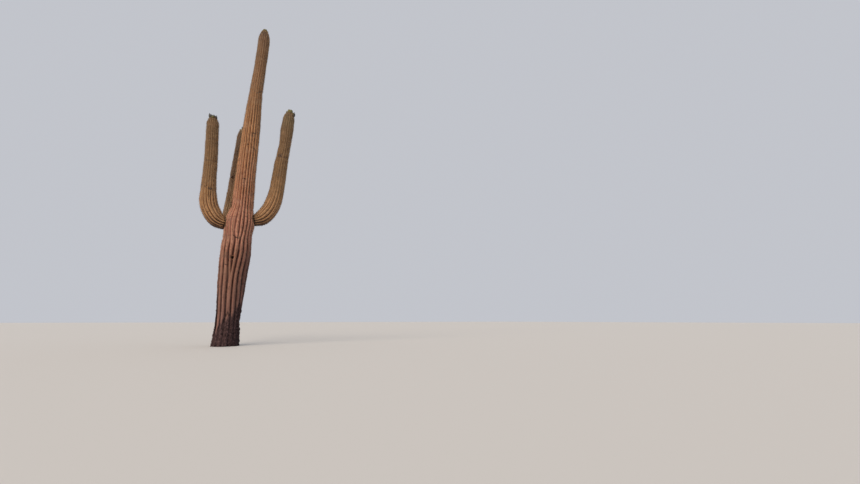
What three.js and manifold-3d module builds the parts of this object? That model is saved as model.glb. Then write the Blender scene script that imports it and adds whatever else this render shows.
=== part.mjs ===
// Saguaro cactus: one ribbed trunk with three upturned arms and a few fruits on the crowns, at its real size.
// Millimetres, +Z up. The origin is the middle of the flat cut at ground level, and -Y is the front.
import * as THREE from 'three';
import { mergeVertices } from 'three/addons/utils/BufferGeometryUtils.js';
import Module from 'manifold-3d';

const wasm = await Module();
wasm.setup();

// Middle lines of the limbs, from the foot upwards: x, y, z and the radius over the rib crests.
// The trunk narrows above its flared foot, swells under the arms and tapers above them.
const TRUNK_LINE = [
  [0, 0, 0, 288],
  [-6, 0, 560, 249],
  [-31, 0, 1500, 304],
  [-38, 0, 2250, 333],
  [-42, 0, 2700, 311],
  [-40, 0, 3040, 334],
  [-30, 0, 3420, 260],
  [-46, 0, 4300, 231],
  [-60, 0, 5700, 208],
  [-70, 0, 6700, 167],
  [-56, 0, 7500, 150],
  [-46, 0, 8100, 149],
  [-47, 0, 8540, 148],
];
// Each arm starts inside the trunk, swells round its elbow and then stands up.
const LEFT_ARM_LINE = [
  [-120, 10, 2968, 140],
  [-405, 30, 2985, 152],
  [-539, 40, 3044, 184],
  [-647, 48, 3178, 195],
  [-738, 55, 3355, 193],
  [-786, 60, 3560, 186],
  [-815, 62, 3820, 164],
  [-840, 62, 4200, 149],
  [-868, 60, 4680, 144],
  [-925, 58, 5340, 138],
  [-943, 56, 5560, 134],
];
const RIGHT_ARM_LINE = [
  [40, 10, 3120, 140],
  [300, 25, 3166, 150],
  [422, 32, 3220, 191],
  [525, 38, 3336, 206],
  [620, 42, 3507, 205],
  [688, 45, 3730, 203],
  [730, 45, 4020, 189],
  [751, 42, 4380, 181],
  [772, 38, 4900, 171],
  [818, 32, 5490, 155],
  [828, 30, 6000, 172],
  [839, 30, 6230, 157],
];
const BACK_ARM_LINE = [
  [-60, 120, 2990, 145],
  [-150, 330, 3010, 165],
  [-205, 480, 3090, 188],
  [-250, 590, 3230, 198],
  [-278, 650, 3430, 190],
  [-286, 672, 3700, 165],
  [-284, 680, 4100, 152],
  [-276, 682, 4700, 148],
  [-258, 680, 5300, 147],
  [-250, 678, 5680, 146],
];
// Rounded crowns: from the last place of a middle line to its very tip
const TRUNK_CROWN = 410;
const LEFT_CROWN = 225;
const RIGHT_CROWN = 320;
const BACK_CROWN = 320;

// Ribs
const TRUNK_RIBS = 21;
const ARM_RIBS = 18;
const RIB_POINTS = 3; // round one rib: its furrow and the two sides of its crest
const TRUNK_FURROW = 0.14; // depth of a furrow, as a share of the radius
const ARM_FURROW = 0.12;
const FOOT_FURROW_SHARE = 0.6; // furrows are this much shallower at the corky foot
const FOOT_HEIGHT = 1100;
// Where one rib of the trunk forks into two: the number and the height of the furrow that starts there
const FORKS = new Map([[3, 1740], [4, 2540], [9, 1150], [14, 3000], [19, 2050]]);
const FORK_LENGTH = 380; // a new furrow takes this long to reach its depth
const FORK_SPREAD = 1200; // and the ribs beside it this long to reach their full width
// The trunk's furrows 0 to 8, which face the front: height, and each furrow's degrees to the right of it.
// The other ribs share the room behind them.
const TRUNK_TRACKS = [
  [640, -66, -42, -17, -5, 2, 9, 32, 55, 76],
  [1060, -69, -44, -19, -8, -3, 4, 28, 50, 71],
  [1620, -69, -46, -21, -9, -4, 3, 23, 44, 71],
  [2200, -74, -50, -30, -11, 0, 11, 29, 48, 72],
  [2510, -70, -49, -30, -9, 1, 11, 29, 47, 66],
  [2710, -69, -48, -33, -15, 2, 16, 31, 47, 65],
  [3010, -68, -51, -35, -14, 1, 16, 31, 47, 63],
  [3670, -72, -54, -36, -17, -1, 15, 31, 46, 60],
  [4340, -76, -58, -40, -21, -3, 14, 30, 48, 66],
  [5020, -80, -62, -43, -25, -4, 15, 34, 56, 76],
  [5740, -86, -67, -47, -28, -6, 13, 31, 52, 72],
  [6490, -86, -70, -49, -30, -9, 12, 31, 54, 76],
];
// Furrow 0 of an arm, the same at every length
const LEFT_TRACKS = [[0, -11.5], [1000, -11.5]];
const RIGHT_TRACKS = [[0, -4.5], [1000, -4.5]];
const BACK_TRACKS = [[0, -11.5], [1000, -11.5]];

// Longest step between two rings of points along a limb
const TRUNK_STEP = 320;
const ELBOW_STEP = 115;
const COLUMN_STEP = 330;
const CROWN_ROWS = 4;
const CROWN_FLAT = 0.6; // share of a crown row that the flat tip leaves out
const AXIS_STEP = 20; // distance over which the direction of a middle line is taken

const GAP = 0.3; // clear space between two pieces that meet
const FOOT_FAN_MIDDLE = [40, 25, 0]; // off the origin, so that the origin lies inside one face

// Fruits: degrees round the crown from the front, degrees off the crown's axis, and length
const TRUNK_FRUITS = [[-60, 14, 58], [50, 24, 62], [165, 26, 60], [-130, 30, 52]];
const LEFT_FRUITS = [
  [-95, 31, 128], [-38, 28, 104], [12, 34, 90], [66, 26, 104], [160, 30, 104], [-150, 30, 94], [-20, 8, 100],
];
const RIGHT_FRUITS = [
  [-30, 8, 112], [35, 12, 100], [92, 44, 132], [60, 34, 90], [150, 38, 92], [-140, 36, 88], [-80, 40, 66],
];
const BACK_FRUITS = [[20, 26, 88], [110, 34, 96], [-160, 30, 92], [-85, 16, 84]];
const FRUIT_SLIMNESS = 0.5; // width of a fruit, as a share of its length
const FRUIT_SIDES = 6;
const FRUIT_RINGS = 4;
const FRUIT_SUNK = 0.26; // share of a fruit's length that is inside the crown
const FRUIT_UPRIGHT = 0.75; // a fruit leans this much of the crown's own slope

// Lengths along a middle line at each of its places
function lengthsOf(line) {
  const lengths = [0];
  for (let i = 1; i < line.length; i++) {
    const step = new THREE.Vector3(...line[i]).distanceTo(new THREE.Vector3(...line[i - 1]));
    lengths.push(lengths[i - 1] + step);
  }
  return lengths;
}

// Values at a length along a line, on one smooth curve through its places
function along({ line, lengths }, length) {
  const last = line.length - 1;
  const i = Math.min(Math.max(lengths.findIndex((l) => l > length), 1), last) - 1;
  const start = length >= lengths[last] ? last - 1 : i;
  const span = lengths[start + 1] - lengths[start];
  const t = (length - lengths[start]) / span;
  const slope = (place, k) => {
    const before = Math.max(place - 1, 0);
    const after = Math.min(place + 1, last);
    return (line[after][k] - line[before][k]) / (lengths[after] - lengths[before]);
  };
  return line[start].map((value, k) => {
    const near = value * (1 + t * t * (2 * t - 3)) + span * slope(start, k) * t * (t - 1) ** 2;
    const far = line[start + 1][k] * t * t * (3 - 2 * t) + span * slope(start + 1, k) * t * t * (t - 1);
    return near + far;
  });
}

// How far a furrow is open at a height: 0 below a fork, 1 above it and everywhere else
function openness(furrow, forks, height, length) {
  if (!forks.has(furrow)) return 1;
  const start = forks.get(furrow);
  return THREE.MathUtils.smoothstep(height, start - length / 2, start + length / 2);
}

// Ribs that share one crest with their neighbours beyond a furrow that isn't open yet
function ribsBeyond(furrow, step, ribs, forks, height) {
  const closed = 1 - openness(furrow, forks, height, FORK_SPREAD);
  if (closed === 0) return 0;
  return closed * (1 + ribsBeyond((furrow + step + ribs) % ribs, step, ribs, forks, height));
}

// Angles of the furrows round a limb. Ribs that haven't forked yet have the room of one between them.
function furrowAngles({ ribs, forks, tracks }, height) {
  const held = THREE.MathUtils.clamp(height, tracks.lengths[0], tracks.lengths.at(-1));
  const angles = along(tracks, held).map((degrees) => THREE.MathUtils.degToRad(degrees));
  const first = angles.length - 1;
  const room = 2 * Math.PI - (angles[first] - angles[0]);
  const widths = Array.from({ length: ribs - first }, (_, i) => 1 / (1
    + ribsBeyond(first + i, -1, ribs, forks, height)
    + ribsBeyond((first + i + 1) % ribs, 1, ribs, forks, height)));
  const total = widths.reduce((sum, width) => sum + width, 0);
  for (const width of widths) angles.push(angles.at(-1) + (room * width) / total);
  return angles;
}

// Angle and share of the radius of each point round one ribbed section
function ribbedSection(limb, height) {
  const angles = furrowAngles(limb, height);
  const section = [];
  for (let rib = 0; rib < limb.ribs; rib++) {
    for (let point = 0; point < RIB_POINTS; point++) {
      const open = openness(rib, limb.forks, height, FORK_LENGTH);
      const share = point === 0 ? 1 - limb.furrow * open : 1;
      section.push({ angle: THREE.MathUtils.lerp(angles[rib], angles[rib + 1], point / RIB_POINTS), share });
    }
  }
  return section;
}

// A limb with its ribs, and a direction square to its bend from which its angles start
function makeLimb(line, crown, ribs, furrow, square, trackRows, forks = new Map()) {
  const squareTo = new THREE.Vector3(...square).normalize();
  const tracks = { line: trackRows.map((row) => row.slice(1)), lengths: trackRows.map((row) => row[0]) };
  return { line, lengths: lengthsOf(line), crown, ribs, furrow, squareTo, tracks, forks };
}

const trunk = makeLimb(TRUNK_LINE, TRUNK_CROWN, TRUNK_RIBS, TRUNK_FURROW, [0, -1, 0], TRUNK_TRACKS, FORKS);
const leftArm = makeLimb(LEFT_ARM_LINE, LEFT_CROWN, ARM_RIBS, ARM_FURROW, [0, -1, 0], LEFT_TRACKS);
const rightArm = makeLimb(RIGHT_ARM_LINE, RIGHT_CROWN, ARM_RIBS, ARM_FURROW, [0, -1, 0], RIGHT_TRACKS);
const backArm = makeLimb(BACK_ARM_LINE, BACK_CROWN, ARM_RIBS, ARM_FURROW, [-0.93, -0.37, 0], BACK_TRACKS);

// Middle, radius and axes of a limb at a length. Past the line's end the crown closes like an egg.
// The trunk's sections stay level, so that its foot is a level cut.
function placeOn(limb, length) {
  const end = limb.lengths.at(-1);
  const [x, y, z, radius] = along(limb, Math.min(length, end));
  const before = along(limb, Math.max(Math.min(length, end) - AXIS_STEP, 0)).slice(0, 3);
  const after = along(limb, Math.min(length + AXIS_STEP, end)).slice(0, 3);
  const axis = new THREE.Vector3(0, 0, 1);
  if (limb !== trunk) axis.fromArray(after).sub(new THREE.Vector3(...before)).normalize();
  const side = new THREE.Vector3().crossVectors(axis, limb.squareTo).normalize();
  const front = new THREE.Vector3().crossVectors(side, axis);
  const past = Math.max(length - end, 0);
  const middle = new THREE.Vector3(x, y, z).addScaledVector(axis, past);
  const closing = Math.sqrt(Math.max(1 - (past / limb.crown) ** 2, 0));
  return { middle, radius: radius * closing, axis, front, side };
}

// One ring of points round a limb
function ringOn(limb, length, grow) {
  const { middle, radius, front, side } = placeOn(limb, length);
  const corky = limb === trunk ? 1 - THREE.MathUtils.smoothstep(length, 0, FOOT_HEIGHT) : 0;
  const furrow = limb.furrow * (1 - FOOT_FURROW_SHARE * corky);
  return ribbedSection({ ...limb, furrow }, length).map(({ angle, share }) =>
    middle.clone()
      .addScaledVector(front, (radius * share + grow) * Math.cos(angle))
      .addScaledVector(side, (radius * share + grow) * Math.sin(angle)));
}

// Lengths of the rings between two lengths: at every place of the line, and in steps between them
function rowLengths(limb, from, to, step) {
  const places = limb.lengths.filter((l) => l > from + step / 4 && l < to - step / 4);
  const stops = [from, ...places, to];
  const rows = [from];
  for (let i = 1; i < stops.length; i++) {
    const parts = Math.ceil((stops[i] - stops[i - 1]) / step);
    for (let part = 1; part <= parts; part++) {
      rows.push(THREE.MathUtils.lerp(stops[i - 1], stops[i], part / parts));
    }
  }
  return rows;
}

// Lengths of the rings over a crown, closer together towards the tip
function crownLengths(limb) {
  return Array.from({ length: CROWN_ROWS }, (_, i) =>
    limb.lengths.at(-1) + limb.crown * Math.sin((Math.PI / 2) * ((i + 1) / (CROWN_ROWS + CROWN_FLAT))));
}

// Closed geometry through rings of points, with a fan of faces at each end
function skinGeometry(rings, startMiddle, endMiddle) {
  const round = rings[0].length;
  const points = [...rings.flat(), startMiddle, endMiddle];
  const start = points.length - 2;
  const end = points.length - 1;
  const lastRing = (rings.length - 1) * round;
  const faces = [];
  for (let j = 0; j < round; j++) {
    const k = (j + 1) % round;
    for (let i = 0; i < rings.length - 1; i++) {
      const a = i * round + j;
      const b = i * round + k;
      faces.push(a, b, b + round, a, b + round, a + round);
    }
    faces.push(start, k, j, end, lastRing + j, lastRing + k);
  }
  const geometry = new THREE.BufferGeometry().setFromPoints(points);
  geometry.setIndex(faces);
  return geometry;
}

// Geometry of a limb between two lengths. With no end it runs on over its crown.
function limbGeometry(limb, step, from, to, grow = 0) {
  const lineEnd = limb.lengths.at(-1);
  const rows = rowLengths(limb, from, to ?? lineEnd, step);
  if (to === undefined) rows.push(...crownLengths(limb));
  const rings = rows.map((length) => ringOn(limb, length, grow));
  const startMiddle = placeOn(limb, from).middle;
  const endMiddle = placeOn(limb, to ?? lineEnd + limb.crown).middle;
  if (limb === trunk) startMiddle.fromArray(FOOT_FAN_MIDDLE);
  return skinGeometry(rings, startMiddle, endMiddle);
}

function solidOf(geometry) {
  const bare = geometry.clone();
  bare.deleteAttribute('normal');
  bare.deleteAttribute('uv');
  const merged = mergeVertices(bare, 1e-3);
  return new wasm.Manifold(new wasm.Mesh({
    numProp: 3,
    vertProperties: new Float32Array(merged.attributes.position.array),
    triVerts: new Uint32Array(merged.index.array),
  }));
}

function geometryOf(solid) {
  const mesh = solid.getMesh();
  const geometry = new THREE.BufferGeometry();
  geometry.setAttribute('position', new THREE.BufferAttribute(mesh.vertProperties, 3));
  geometry.setIndex(new THREE.BufferAttribute(mesh.triVerts, 1));
  geometry.computeVertexNormals();
  return geometry;
}

// An egg-shaped fruit that stands on a crown, its stalk end sunk in it
function fruitSolid(limb, [turnDegrees, tiltDegrees, length]) {
  const { middle, radius, axis, front, side } = placeOn(limb, limb.lengths.at(-1));
  const turn = THREE.MathUtils.degToRad(turnDegrees);
  const tilt = THREE.MathUtils.degToRad(tiltDegrees);
  const outward = front.clone().multiplyScalar(Math.cos(turn)).addScaledVector(side, Math.sin(turn));
  const way = axis.clone().multiplyScalar(Math.cos(tilt * FRUIT_UPRIGHT))
    .addScaledVector(outward, Math.sin(tilt * FRUIT_UPRIGHT));
  const place = middle.clone()
    .addScaledVector(axis, limb.crown * Math.cos(tilt))
    .addScaledVector(outward, radius * Math.sin(tilt) * (1 - limb.furrow / 2))
    .addScaledVector(way, (0.5 - FRUIT_SUNK) * length);
  const fruit = new THREE.SphereGeometry(0.5, FRUIT_SIDES, FRUIT_RINGS)
    .scale(length * FRUIT_SLIMNESS, length, length * FRUIT_SLIMNESS)
    .applyQuaternion(new THREE.Quaternion().setFromUnitVectors(new THREE.Vector3(0, 1, 0), way))
    .translate(place.x, place.y, place.z);
  return solidOf(fruit);
}

// The rest of a limb from one length up, with its crown and the fruits on it
function crownedSolid(limb, step, from, fruits) {
  const bare = solidOf(limbGeometry(limb, step, from));
  return fruits.reduce((solid, fruit) => solid.add(fruitSolid(limb, fruit)), bare);
}

// The bend of an arm, cut to the ribs of the trunk that it grows from, without the loose scraps
// that the cut leaves in the trunk's furrows
function elbowSolid(arm, bendEnd) {
  const trunkRoom = solidOf(limbGeometry(trunk, TRUNK_STEP, 0, undefined, GAP));
  const cut = solidOf(limbGeometry(arm, ELBOW_STEP, 0, bendEnd)).subtract(trunkRoom);
  return cut.decompose().sort((a, b) => b.volume() - a.volume())[0];
}

const trunkSkin = new THREE.MeshStandardMaterial({ color: 0x8f7356, roughness: 0.85, metalness: 0 });
const armSkin = new THREE.MeshStandardMaterial({ color: 0x7d7048, roughness: 0.8, metalness: 0 });

function pieceOf(name, solid, material) {
  const piece = new THREE.Mesh(geometryOf(solid), material);
  piece.name = name;
  return piece;
}

// An arm is its bend and the upright column above it, split where the bend is done
function armPieces(name, arm, bendPlaces, fruits) {
  const bendEnd = arm.lengths[bendPlaces];
  return [
    pieceOf(name + '_elbow', elbowSolid(arm, bendEnd), armSkin),
    pieceOf(name + '_column', crownedSolid(arm, COLUMN_STEP, bendEnd + GAP, fruits), armSkin),
  ];
}

const cactus = new THREE.Group();
cactus.add(pieceOf('trunk', crownedSolid(trunk, TRUNK_STEP, 0, TRUNK_FRUITS), trunkSkin));
cactus.add(...armPieces('left_arm', leftArm, 6, LEFT_FRUITS));
cactus.add(...armPieces('right_arm', rightArm, 6, RIGHT_FRUITS));
cactus.add(...armPieces('back_arm', backArm, 5, BACK_FRUITS));

export default cactus;
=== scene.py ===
# A tall saguaro cactus: ribbed skin with cork, wounds and growth rings, areoles, spines and fruits.
# Metres, +Z up, and -Y faces the camera. Each limb follows the rule of the solids that it stands for.
import math

import bpy
import numpy as np
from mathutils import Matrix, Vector
from mathutils.bvhtree import BVHTree


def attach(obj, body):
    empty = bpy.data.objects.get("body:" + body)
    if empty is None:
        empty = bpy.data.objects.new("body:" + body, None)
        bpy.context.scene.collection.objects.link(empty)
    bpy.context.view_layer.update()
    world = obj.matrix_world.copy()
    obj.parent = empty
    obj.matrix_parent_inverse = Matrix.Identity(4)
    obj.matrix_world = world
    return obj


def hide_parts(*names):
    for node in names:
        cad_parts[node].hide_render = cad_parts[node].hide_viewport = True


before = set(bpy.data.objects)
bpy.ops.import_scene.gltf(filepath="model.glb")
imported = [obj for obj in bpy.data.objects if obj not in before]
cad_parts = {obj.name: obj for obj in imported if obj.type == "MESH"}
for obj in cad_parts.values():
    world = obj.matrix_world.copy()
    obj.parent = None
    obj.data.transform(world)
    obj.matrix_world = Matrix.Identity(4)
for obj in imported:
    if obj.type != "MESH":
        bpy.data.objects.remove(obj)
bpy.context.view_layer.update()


def pieceOnly(piece):  # selects one piece and makes it active
    if bpy.context.object and bpy.context.object.mode != "OBJECT":
        bpy.ops.object.mode_set(mode="OBJECT")
    bpy.ops.object.select_all(action="DESELECT")
    piece.select_set(True)
    bpy.context.view_layer.objects.active = piece


def smooth(low, high, value):
    t = np.clip((value - low) / (high - low), 0, 1)
    return t * t * (3 - 2 * t)


def bell(value, middle, width):
    return np.exp(-((value - middle) / width) ** 2)


def between(first, second, share):
    return first * (1 - share) + second * share


def unit(rows):  # each row made one long
    return rows / np.linalg.norm(rows, axis=1)[:, None]


def waysAt(first, second, angle):  # directions at an angle from the first ones towards the second
    return first * np.cos(angle)[:, None] + second * np.sin(angle)[:, None]


# Camera, as the photo has it: a wide lens near the ground, tilted up, with the plant left of the middle
cameraView = {
    "place": (0, -9.57, 0.588),
    "tiltUp": 13.2,
    "turnRight": 30.4,
    "lens": 14,
    "sensor": 36,
    "farEnd": 500,
}


def setCamera():
    tilt = math.radians(90 + cameraView["tiltUp"])
    turn = -math.radians(cameraView["turnRight"])
    bpy.ops.object.camera_add(location=cameraView["place"], rotation=(tilt, 0, turn))
    camera = bpy.context.object
    camera.name = "photo_camera"
    camera.data.lens = cameraView["lens"]
    camera.data.sensor_width = cameraView["sensor"]
    camera.data.clip_end = cameraView["farEnd"]
    bpy.context.scene.camera = camera


studio = {
    "floorSize": 240,
    "floorColour": (0.62, 0.60, 0.57, 1),
    "floorRoughness": 0.9,
    "skyColour": (0.72, 0.74, 0.80, 1),
    "skyStrength": 0.75,
    "sunPlace": (0, 0, 12),
    "sunColour": (1, 0.86, 0.70),
    "sunStrength": 2.6,
    "sunHeight": 30,  # degrees above the ground
    "sunLeft": 52,  # degrees left of the camera's side of the plant
    "sunSoftness": 60,  # degrees across
}


def setStudio():
    bpy.ops.mesh.primitive_plane_add(size=studio["floorSize"], location=(0, 0, 0))
    floor = bpy.context.object
    floor.name = "studio_floor"
    pale = bpy.data.materials.new("paleFloor")
    pale.use_nodes = True
    shader = pale.node_tree.nodes["Principled BSDF"]
    shader.inputs["Base Color"].default_value = studio["floorColour"]
    shader.inputs["Roughness"].default_value = studio["floorRoughness"]
    floor.data.materials.append(pale)

    down = math.radians(90 - studio["sunHeight"])
    side = -math.radians(studio["sunLeft"])
    bpy.ops.object.light_add(type="SUN", location=studio["sunPlace"], rotation=(down, 0, side))
    sun = bpy.context.object
    sun.name = "soft_sun"
    sun.data.energy = studio["sunStrength"]
    sun.data.color = studio["sunColour"]
    sun.data.angle = math.radians(studio["sunSoftness"])

    world = bpy.data.worlds.new("studioSky")
    world.use_nodes = True
    background = world.node_tree.nodes["Background"]
    background.inputs["Color"].default_value = studio["skyColour"]
    background.inputs["Strength"].default_value = studio["skyStrength"]
    bpy.context.scene.world = world
    bpy.context.scene.view_settings.view_transform = "Standard"


setCamera()
setStudio()
print("camera, floor and light set")


# Middle lines of the limbs: x, y, z and the radius over the rib crests, with a rounded crown beyond the
# end. SquareTo is the way that a limb's front faces. Tracks are the furrows that face the front: a length,
# and each furrow's degrees to the right of it; the other ribs share the rest. Forks are furrows that begin
# part of the way up: a furrow's number and a length. Rings are slight waists: length, depth, width. Marks
# are scars across the skin: degrees from the front, length, reach in degrees, slope, thickness, depth and
# darkness. Proud is how far the crests stand past the nominal radius, less where spines fill the outline,
# and veil how far these hide the ribs.
trunk = {
    "line": [
        (0, 0, 0, 0.288), (-0.012, 0, 0.56, 0.249), (-0.034, 0, 1.5, 0.298), (-0.037, 0, 2.25, 0.327),
        (-0.042, 0, 2.7, 0.310), (-0.04, 0, 3.04, 0.334), (-0.03, 0, 3.42, 0.26), (-0.046, 0, 4.3, 0.231),
        (-0.06, 0, 5.7, 0.208), (-0.07, 0, 6.7, 0.167), (-0.056, 0, 7.5, 0.15), (-0.046, 0, 8.1, 0.149),
        (-0.047, 0, 8.54, 0.148),
    ],
    "crown": 0.41,
    "squareTo": (0, -1, 0),
    "ribs": 21,
    "furrow": 0.15,
    "tracks": [
        (0.64, -66, -42, -17, -5, 2, 9, 32, 55, 76),
        (1.06, -69, -44, -19, -8, -3, 4, 28, 50, 71),
        (1.62, -69, -46, -21, -9, -4, 3, 23, 44, 71),
        (2.2, -74, -50, -30, -11, 0, 11, 29, 48, 72),
        (2.51, -70, -49, -30, -9, 1, 11, 29, 47, 66),
        (2.71, -69, -48, -33, -15, 2, 16, 31, 47, 65),
        (3.01, -68, -51, -35, -14, 1, 16, 31, 47, 63),
        (3.67, -72, -54, -36, -17, -1, 15, 31, 46, 60),
        (4.34, -76, -58, -40, -21, -3, 14, 30, 48, 66),
        (5.02, -80, -62, -43, -25, -4, 15, 34, 56, 76),
        (5.74, -86, -67, -47, -28, -6, 13, 31, 52, 72),
        (6.49, -86, -70, -49, -30, -9, 12, 31, 54, 76),
    ],
    "forks": {3: 1.74, 4: 2.54, 9: 1.15, 14: 3.0, 19: 2.05},
    "upright": True,
    "start": 0,
    "ribColumns": 10,
    "rowStep": 0.024,
    "footRows": (1.1, 0.013),  # the corky foot has finer rows up to this height
    "rings": [
        (6.83, 0.05, 0.05), (5.22, 0.022, 0.06), (4.41, 0.02, 0.07), (7.72, 0.025, 0.05), (3.42, 0.015, 0.05),
    ],
    "marks": [
        (-9, 2.585, 15, -0.17, 0.018, 0.012, 0.8), (9, 2.575, 10, 0.3, 0.014, 0.008, 0.55),
        (-22, 2.7, 48, 0.01, 0.012, 0.005, 0.4), (-25, 3.09, 62, 0.01, 0.012, 0.005, 0.45),
        (-55, 3.03, 34, 0.03, 0.014, 0.006, 0.5), (60, 3.14, 15, 0.05, 0.018, 0.012, 0.5),
        (36, 3.11, 20, 0.0, 0.013, 0.005, 0.4), (39, 6.82, 44, 0.16, 0.016, 0.007, 0.8),
        (-55, 6.53, 34, 0.0, 0.014, 0.004, 0.5), (24, 5.5, 16, 0.05, 0.016, 0.006, 0.9),
        (36, 5.06, 20, -0.08, 0.018, 0.007, 0.9), (-8, 4.15, 16, 0.02, 0.014, 0.005, 0.8),
        (2, 8.74, 34, 0.0, 0.05, 0.0, 0.45), (4, 8.32, 10, 0.0, 0.15, 0.0, 0.4),
        (38, 3.95, 14, 0.1, 0.014, 0.005, 0.7), (-35, 1.9, 13, -0.1, 0.014, 0.006, 0.6),
        (52, 1.45, 15, 0.1, 0.016, 0.007, 0.7), (-7, 0.72, 16, 0.1, 0.05, 0.010, 0.6),
    ],
    "moreMarks": 46,
    "proud": [(0, 0.012), (2.4, 0.010), (3.4, 0), (6, -0.005), (8.3, -0.007), (9, -0.010)],
    "veil": [(0, 0), (2.62, 0), (6.1, 0.12), (6.45, 0.6), (6.85, 0.88), (9, 0.92)],
    "seed": 11,
}
leftArm = {
    "line": [
        (-0.12, 0.01, 2.956, 0.144), (-0.405, 0.03, 2.975, 0.156), (-0.539, 0.04, 3.040, 0.184),
        (-0.647, 0.048, 3.178, 0.195), (-0.738, 0.055, 3.355, 0.193), (-0.786, 0.06, 3.56, 0.186),
        (-0.815, 0.062, 3.82, 0.164), (-0.84, 0.062, 4.2, 0.149), (-0.868, 0.06, 4.68, 0.144),
        (-0.925, 0.058, 5.34, 0.138), (-0.943, 0.056, 5.56, 0.134),
    ],
    "crown": 0.225,
    "squareTo": (0, -1, 0),
    "tracks": [(0, -11.5), (1, -11.5)],
    "forks": {1: 0.95, 7: 0.8, 13: 0.75, 16: 0.7},
    "start": 0.1,
    "rings": [(1.22, 0.02, 0.04), (1.99, 0.015, 0.04), (2.6, 0.02, 0.05)],
    "marks": [
        (14, 1.24, 19, 0.0, 0.026, 0.010, 1.0), (-20, 1.3, 14, 0.1, 0.016, 0.005, 0.6),
        (0, 1.57, 60, 0.02, 0.012, 0.003, 0.4), (5, 1.84, 70, -0.02, 0.012, 0.003, 0.4),
        (0, 1.99, 80, 0.0, 0.016, 0.004, 0.5), (-10, 2.59, 80, 0.01, 0.024, 0.004, 0.45),
    ],
    "moreMarks": 12,
    "proud": [(0, 0), (1.2, -0.003), (3, -0.005)],
    "veil": [(0, 0.1), (0.9, 0.15), (1.1, 0.3), (1.4, 0.7), (4, 0.78)],
    "seed": 23,
}
rightArm = {
    "line": [
        (0.04, 0.01, 3.106, 0.146), (0.3, 0.025, 3.154, 0.157), (0.422, 0.032, 3.215, 0.191),
        (0.525, 0.038, 3.336, 0.206), (0.62, 0.042, 3.507, 0.205), (0.688, 0.045, 3.73, 0.203),
        (0.73, 0.045, 4.02, 0.189), (0.751, 0.042, 4.38, 0.181), (0.772, 0.038, 4.9, 0.171),
        (0.818, 0.032, 5.49, 0.155), (0.828, 0.03, 6.0, 0.172), (0.839, 0.03, 6.23, 0.157),
    ],
    "crown": 0.32,
    "squareTo": (0, -1, 0),
    "tracks": [(0, -4.5), (1, -4.5)],
    "forks": {2: 0.75, 7: 1.1, 11: 0.9, 16: 1.0},
    "start": 0.08,
    "rings": [(2.34, 0.03, 0.05), (1.96, 0.012, 0.05), (2.72, 0.02, 0.06)],
    "marks": [
        (-33, 2.33, 30, 0.03, 0.034, 0.008, 1.0), (10, 2.3, 50, 0.05, 0.016, 0.004, 0.6),
        (0, 2.17, 70, -0.02, 0.010, 0.003, 0.35), (15, 1.97, 60, 0.0, 0.010, 0.003, 0.3),
        (0, 2.76, 80, 0.03, 0.012, 0.003, 0.35), (-20, 3.1, 60, 0.0, 0.012, 0.003, 0.35),
        (-30, 1.45, 30, -0.05, 0.010, 0.003, 0.3),
    ],
    "moreMarks": 14,
    "proud": [(0, -0.004), (1.4, -0.007), (4, -0.008)],
    "veil": [(0, 0.15), (0.9, 0.25), (1.2, 0.55), (1.6, 0.85), (4, 0.85)],
    "seed": 37,
}
backArm = {
    "line": [
        (-0.06, 0.12, 2.99, 0.145), (-0.15, 0.33, 3.01, 0.165), (-0.205, 0.48, 3.09, 0.188),
        (-0.25, 0.59, 3.23, 0.198), (-0.278, 0.65, 3.43, 0.19), (-0.286, 0.672, 3.7, 0.165),
        (-0.284, 0.68, 4.1, 0.152), (-0.276, 0.682, 4.7, 0.148), (-0.258, 0.68, 5.3, 0.147),
        (-0.25, 0.678, 5.68, 0.146),
    ],
    "crown": 0.32,
    "squareTo": (-0.93, -0.37, 0),
    "tracks": [(0, -11.5), (1, -11.5)],
    "forks": {2: 1.0, 6: 0.8, 10: 1.1, 15: 0.9},
    "start": 0.06,
    "rings": [(1.86, 0.02, 0.04), (2.5, 0.015, 0.05)],
    "marks": [(38, 1.86, 75, 0.0, 0.016, 0.006, 0.6), (20, 2.4, 60, 0.02, 0.012, 0.004, 0.35)],
    "moreMarks": 12,
    "proud": [(0, 0), (1.2, -0.005), (3, -0.008)],
    "veil": [(0, 0.1), (0.9, 0.15), (1.1, 0.3), (1.4, 0.7), (4, 0.78)],
    "seed": 41,
}
armRule = {"ribs": 18, "furrow": 0.14, "upright": False, "ribColumns": 12, "rowStep": 0.014}
for arm in (leftArm, rightArm, backArm):
    arm.update(armRule)

forkLength = 0.38  # a new furrow takes this long to reach its depth
forkSpread = 1.2  # and the ribs beside it this long to reach their full width
axisStep = 0.02  # a limb's axis is taken between points this far before and after


def knotsOf(limb):  # lengths along a middle line at its places
    places = np.array(limb["line"])[:, :3]
    return np.concatenate([[0], np.cumsum(np.linalg.norm(np.diff(places, axis=0), axis=1))])


def curveAt(knots, rows, lengths):  # rows of numbers at lengths, on one smooth curve through the knots
    before = np.maximum(np.arange(len(rows)) - 1, 0)
    after = np.minimum(np.arange(len(rows)) + 1, len(rows) - 1)
    slopes = (rows[after] - rows[before]) / (knots[after] - knots[before])[:, None]
    i = np.clip(np.searchsorted(knots, lengths, side="right") - 1, 0, len(rows) - 2)
    span = (knots[i + 1] - knots[i])[:, None]
    t = (lengths - knots[i])[:, None] / span
    near = rows[i] * (1 + t * t * (2 * t - 3)) + span * slopes[i] * t * (t - 1) ** 2
    far = rows[i + 1] * t * t * (3 - 2 * t) + span * slopes[i + 1] * t * t * (t - 1)
    return near + far


def lineAt(limb, lengths):  # x, y, z and radius at lengths along a limb
    return curveAt(knotsOf(limb), np.array(limb["line"]), lengths)


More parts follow.
